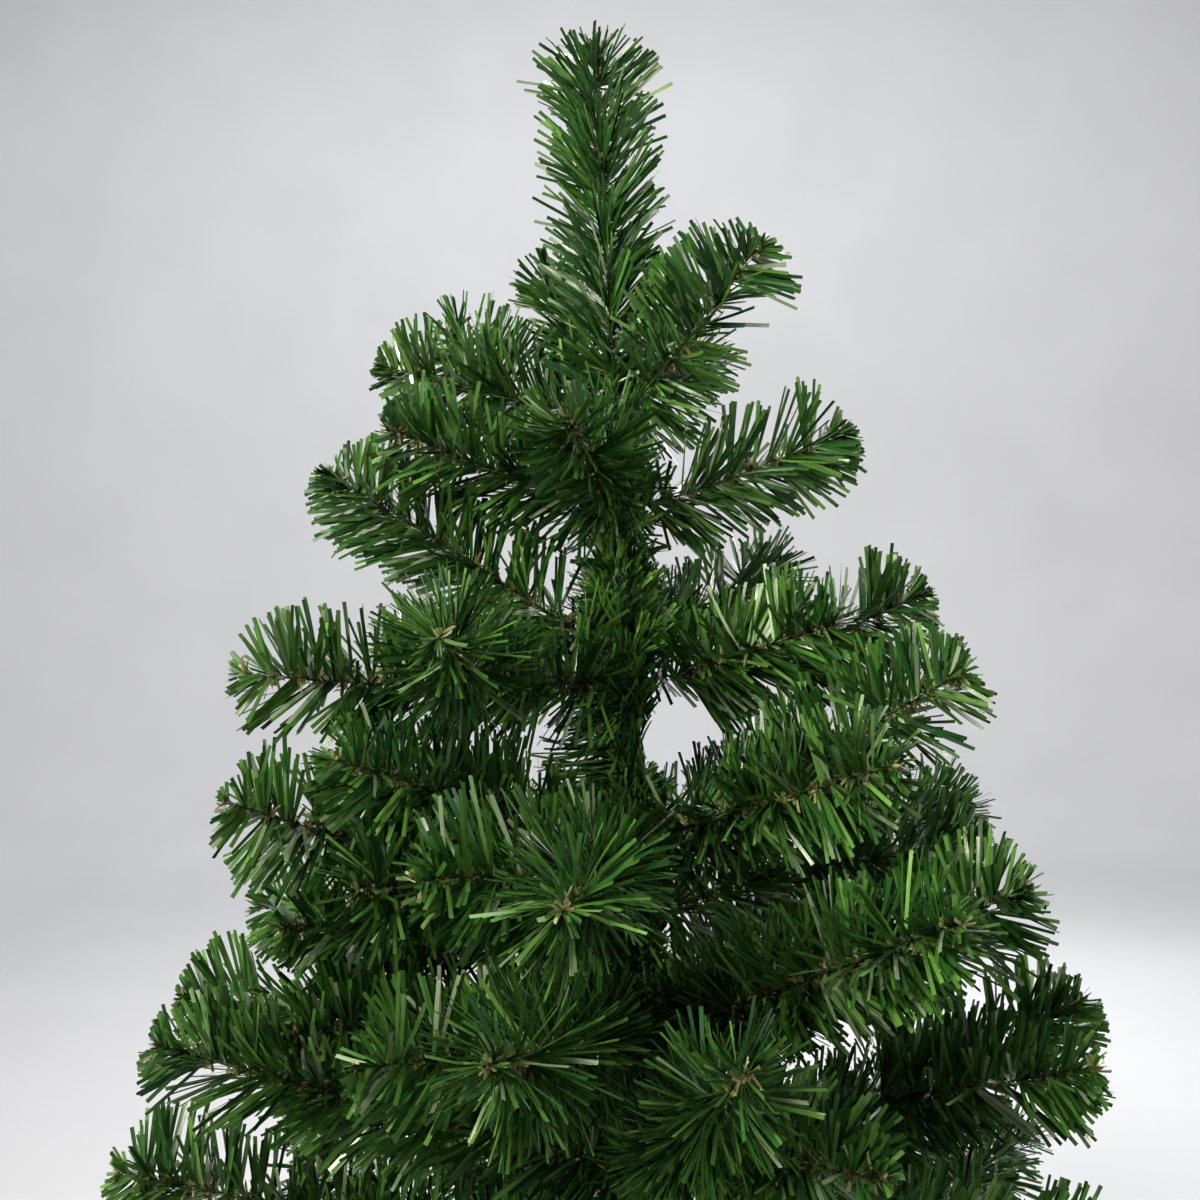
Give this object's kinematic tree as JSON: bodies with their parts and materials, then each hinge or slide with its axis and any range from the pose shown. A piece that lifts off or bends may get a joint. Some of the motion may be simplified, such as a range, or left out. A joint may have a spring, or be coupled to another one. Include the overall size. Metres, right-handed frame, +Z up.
{
  "type": "artificial christmas tree",
  "caption": "Undecorated artificial Christmas tree: bottle-brush boughs of PVC needles hooked in tiers on a steel pole, standing on a moulded plastic cross stand.",
  "frame": {"origin": "on the floor, at the middle of the box round the tree, which is under the pole to within a few millimetres", "axes": "+Z up along the pole; -Y towards the viewer of the picture, +X to the viewer's right"},
  "size_m": [0.7234, 0.6952, 1.2],
  "materials": {
    "needles": "cut PVC film needles in mixed greens, slightly glossy",
    "wire": "dark twisted wire",
    "pole": "dark green enamelled steel tube",
    "stand": "dark green moulded plastic"
  },
  "bodies": {
    "root": {"bough_a1": "needles", "bough_a2": "needles", "bough_a3": "needles", "bough_a4": "needles", "bough_b1": "needles", "bough_b2": "needles", "bough_b3": "needles", "bough_b4": "needles", "bough_c1": "needles", "bough_c2": "needles", "bough_c3": "needles", "bough_d1": "needles", "bough_d2": "needles", "bough_d3": "needles", "bough_e1": "needles", "bough_e2": "needles", "bough_e3": "needles", "bough_e4": "needles", "bough_f1": "needles", "bough_f2": "needles", "bough_f3": "needles", "bough_f4": "needles", "bough_g1": "needles", "bough_g2": "needles", "bough_g3": "needles", "bough_g4": "needles", "bough_g5": "needles", "bough_h1": "needles", "bough_h2": "needles", "bough_h3": "needles", "bough_h4": "needles", "bough_h5": "needles", "bough_i1": "needles", "bough_i2": "needles", "bough_i3": "needles", "bough_i4": "needles", "bough_i5": "needles", "bough_j1": "needles", "bough_j2": "needles", "bough_j3": "needles", "bough_j4": "needles", "bough_j5": "needles", "bough_k1": "needles", "bough_k2": "needles", "bough_k3": "needles", "bough_k4": "needles", "bough_k5": "needles", "leader": "needles", "limb_k1": "wire", "limb_k2": "wire", "limb_k3": "wire", "limb_k4": "wire", "limb_k5": "wire", "pole": "pole", "stand_hub": "stand", "stand_knob": "stand", "stand_leg_1": "stand", "stand_leg_2": "stand", "stand_leg_3": "stand", "stand_leg_4": "stand"}
  },
  "joints": []
}
